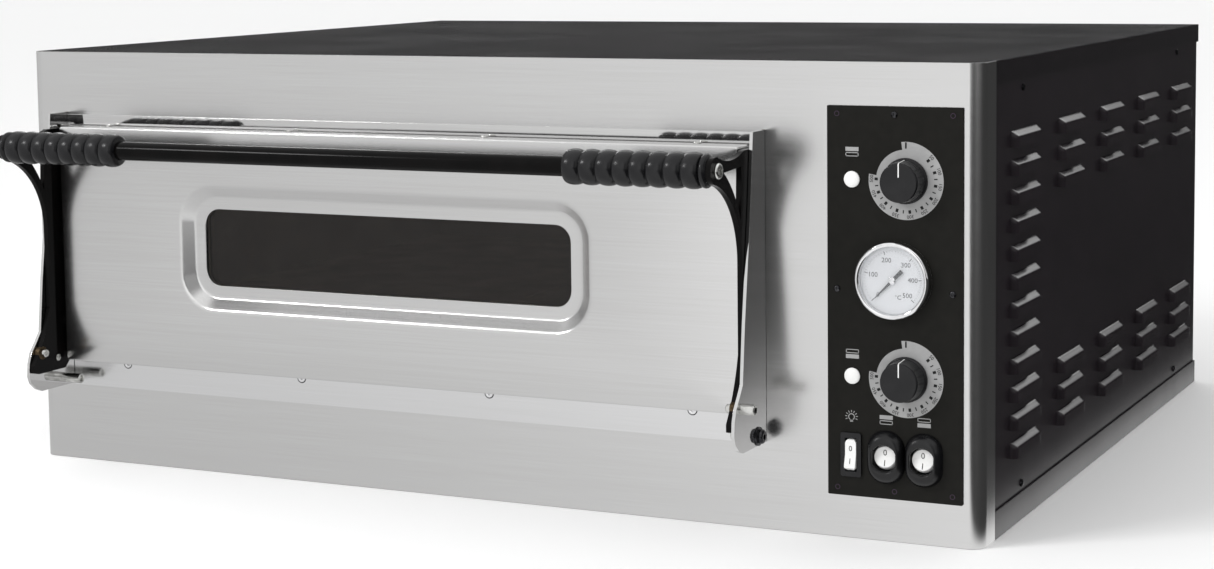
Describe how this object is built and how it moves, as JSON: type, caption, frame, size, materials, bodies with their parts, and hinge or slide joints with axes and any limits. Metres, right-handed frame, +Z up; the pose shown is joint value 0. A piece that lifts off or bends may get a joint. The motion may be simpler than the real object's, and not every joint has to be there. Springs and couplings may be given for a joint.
{
  "type": "deck oven",
  "caption": "Single-chamber electric deck oven: stainless front, bottom-hinged glazed door with a long bar handle, control panel and louvred black casing.",
  "frame": {"origin": "middle of the casing footprint, on the plane that the oven stands on", "axes": "+X to the right seen from the front, +Y from the door to the back, +Z up"},
  "size_m": [1.0194, 0.9867, 0.42],
  "materials": {
    "brushed_stainless": "brushed, satin",
    "polished_stainless": "polished",
    "black_enamel": "satin baked enamel",
    "black_gloss": "gloss enamel",
    "black_phenolic": "moulded, satin gloss",
    "control_black": "matt, printed",
    "zinc_steel": "zinc plated",
    "black_screws": "black oxide",
    "chrome": "mirror",
    "liner_steel": "aluminised, heat-tinted",
    "refractory_stone": "fine-grained, dusty",
    "element_steel": "oxidised",
    "mineral_wool": "fibrous",
    "window_glass": "clear, lightly tinted",
    "lamp_glass": "clear",
    "lamp_metal": "bright",
    "fibre_rope": "braided glass fibre",
    "white_plastic": "gloss",
    "gauge_white": "printed enamel",
    "pointer_black": "matt",
    "bronze": "sintered",
    "black_rubber": "smooth, glossy",
    "grey_plastic": "matt",
    "wire_jacket": "silicone jacket"
  },
  "bodies": {
    "casing": {"base_tray": "black_enamel", "front_panel": "brushed_stainless", "roof_panel": "black_enamel", "side_panel_left": "black_enamel", "side_panel_right": "black_enamel", "back_panel": "black_enamel", "casing_screws": "black_screws", "chamber_liner": "liner_steel", "chamber_rails": "liner_steel", "deck_stones": "refractory_stone", "heating_elements": "element_steel", "bottom_insulation": "mineral_wool", "top_insulation": "mineral_wool", "wall_insulation": "mineral_wool", "control_bulkhead": "liner_steel", "chamber_lamp": "lamp_metal", "lamp_glass": "lamp_glass", "head_strip": "polished_stainless", "sill_plate": "brushed_stainless", "sill_screws": "zinc_steel", "wing_left": "polished_stainless", "wing_right": "polished_stainless", "stop_bolts": "black_screws", "stop_sleeves": "chrome", "pivot_bolts": "zinc_steel", "control_panel": "control_black", "thermostats": "zinc_steel", "pilot_lamps": "white_plastic", "thermometer_case": "chrome", "thermometer_dial": "gauge_white", "thermometer_glass": "lamp_glass", "switch_bodies": "black_rubber", "switch_boots": "black_rubber", "cable_gland": "grey_plastic", "contactors": "grey_plastic", "terminal_block": "grey_plastic", "wiring_loom": "wire_jacket"},
    "door": {"door_skin": "brushed_stainless", "door_inner_pan": "liner_steel", "door_insulation": "mineral_wool", "door_glasses": "window_glass", "glass_seals": "fibre_rope", "door_gasket": "fibre_rope", "door_screws": "zinc_steel", "arm_left": "black_gloss", "arm_right": "black_gloss", "arm_screws": "zinc_steel", "pivot_bushes": "bronze", "handle_bar": "black_gloss", "grip_left": "black_phenolic", "grip_right": "black_phenolic", "handle_screws": "chrome"},
    "upper_knob": {"knob_upper": "black_phenolic", "thermostat_shaft_upper": "zinc_steel"},
    "lower_knob": {"knob_lower": "black_phenolic", "thermostat_shaft_lower": "zinc_steel"},
    "pointer": {"thermometer_pointer": "pointer_black"},
    "light_switch": {"light_rocker": "white_plastic"},
    "upper_switch": {"upper_heat_rocker": "white_plastic"},
    "lower_switch": {"lower_heat_rocker": "white_plastic"}
  },
  "joints": [
    {"name": "door_hinge", "type": "hinge", "parent": "casing", "child": "door", "pos_m": [-0.0785, -0.484, 0.1195], "axis": [1, 0, 0], "range_deg": [0, 90]},
    {"name": "upper_knob_turn", "type": "hinge", "parent": "casing", "child": "upper_knob", "pos_m": [0.437, -0.437, 0.318], "axis": [0, 1, 0], "range_deg": [0, 285]},
    {"name": "lower_knob_turn", "type": "hinge", "parent": "casing", "child": "lower_knob", "pos_m": [0.437, -0.437, 0.145], "axis": [0, 1, 0], "range_deg": [0, 285]},
    {"name": "thermometer_needle", "type": "hinge", "parent": "casing", "child": "pointer", "pos_m": [0.4265, -0.433, 0.2315], "axis": [0, 1, 0], "range_deg": [0, 270], "stiffness_Nm_per_rad": 0.004},
    {"name": "light_switch_tilt", "type": "hinge", "parent": "casing", "child": "light_switch", "pos_m": [0.387, -0.424, 0.075], "axis": [1, 0, 0], "range_deg": [0, 16]},
    {"name": "upper_switch_tilt", "type": "hinge", "parent": "casing", "child": "upper_switch", "pos_m": [0.419, -0.424, 0.075], "axis": [1, 0, 0], "range_deg": [0, 16]},
    {"name": "lower_switch_tilt", "type": "hinge", "parent": "casing", "child": "lower_switch", "pos_m": [0.4535, -0.424, 0.075], "axis": [1, 0, 0], "range_deg": [0, 16]}
  ]
}
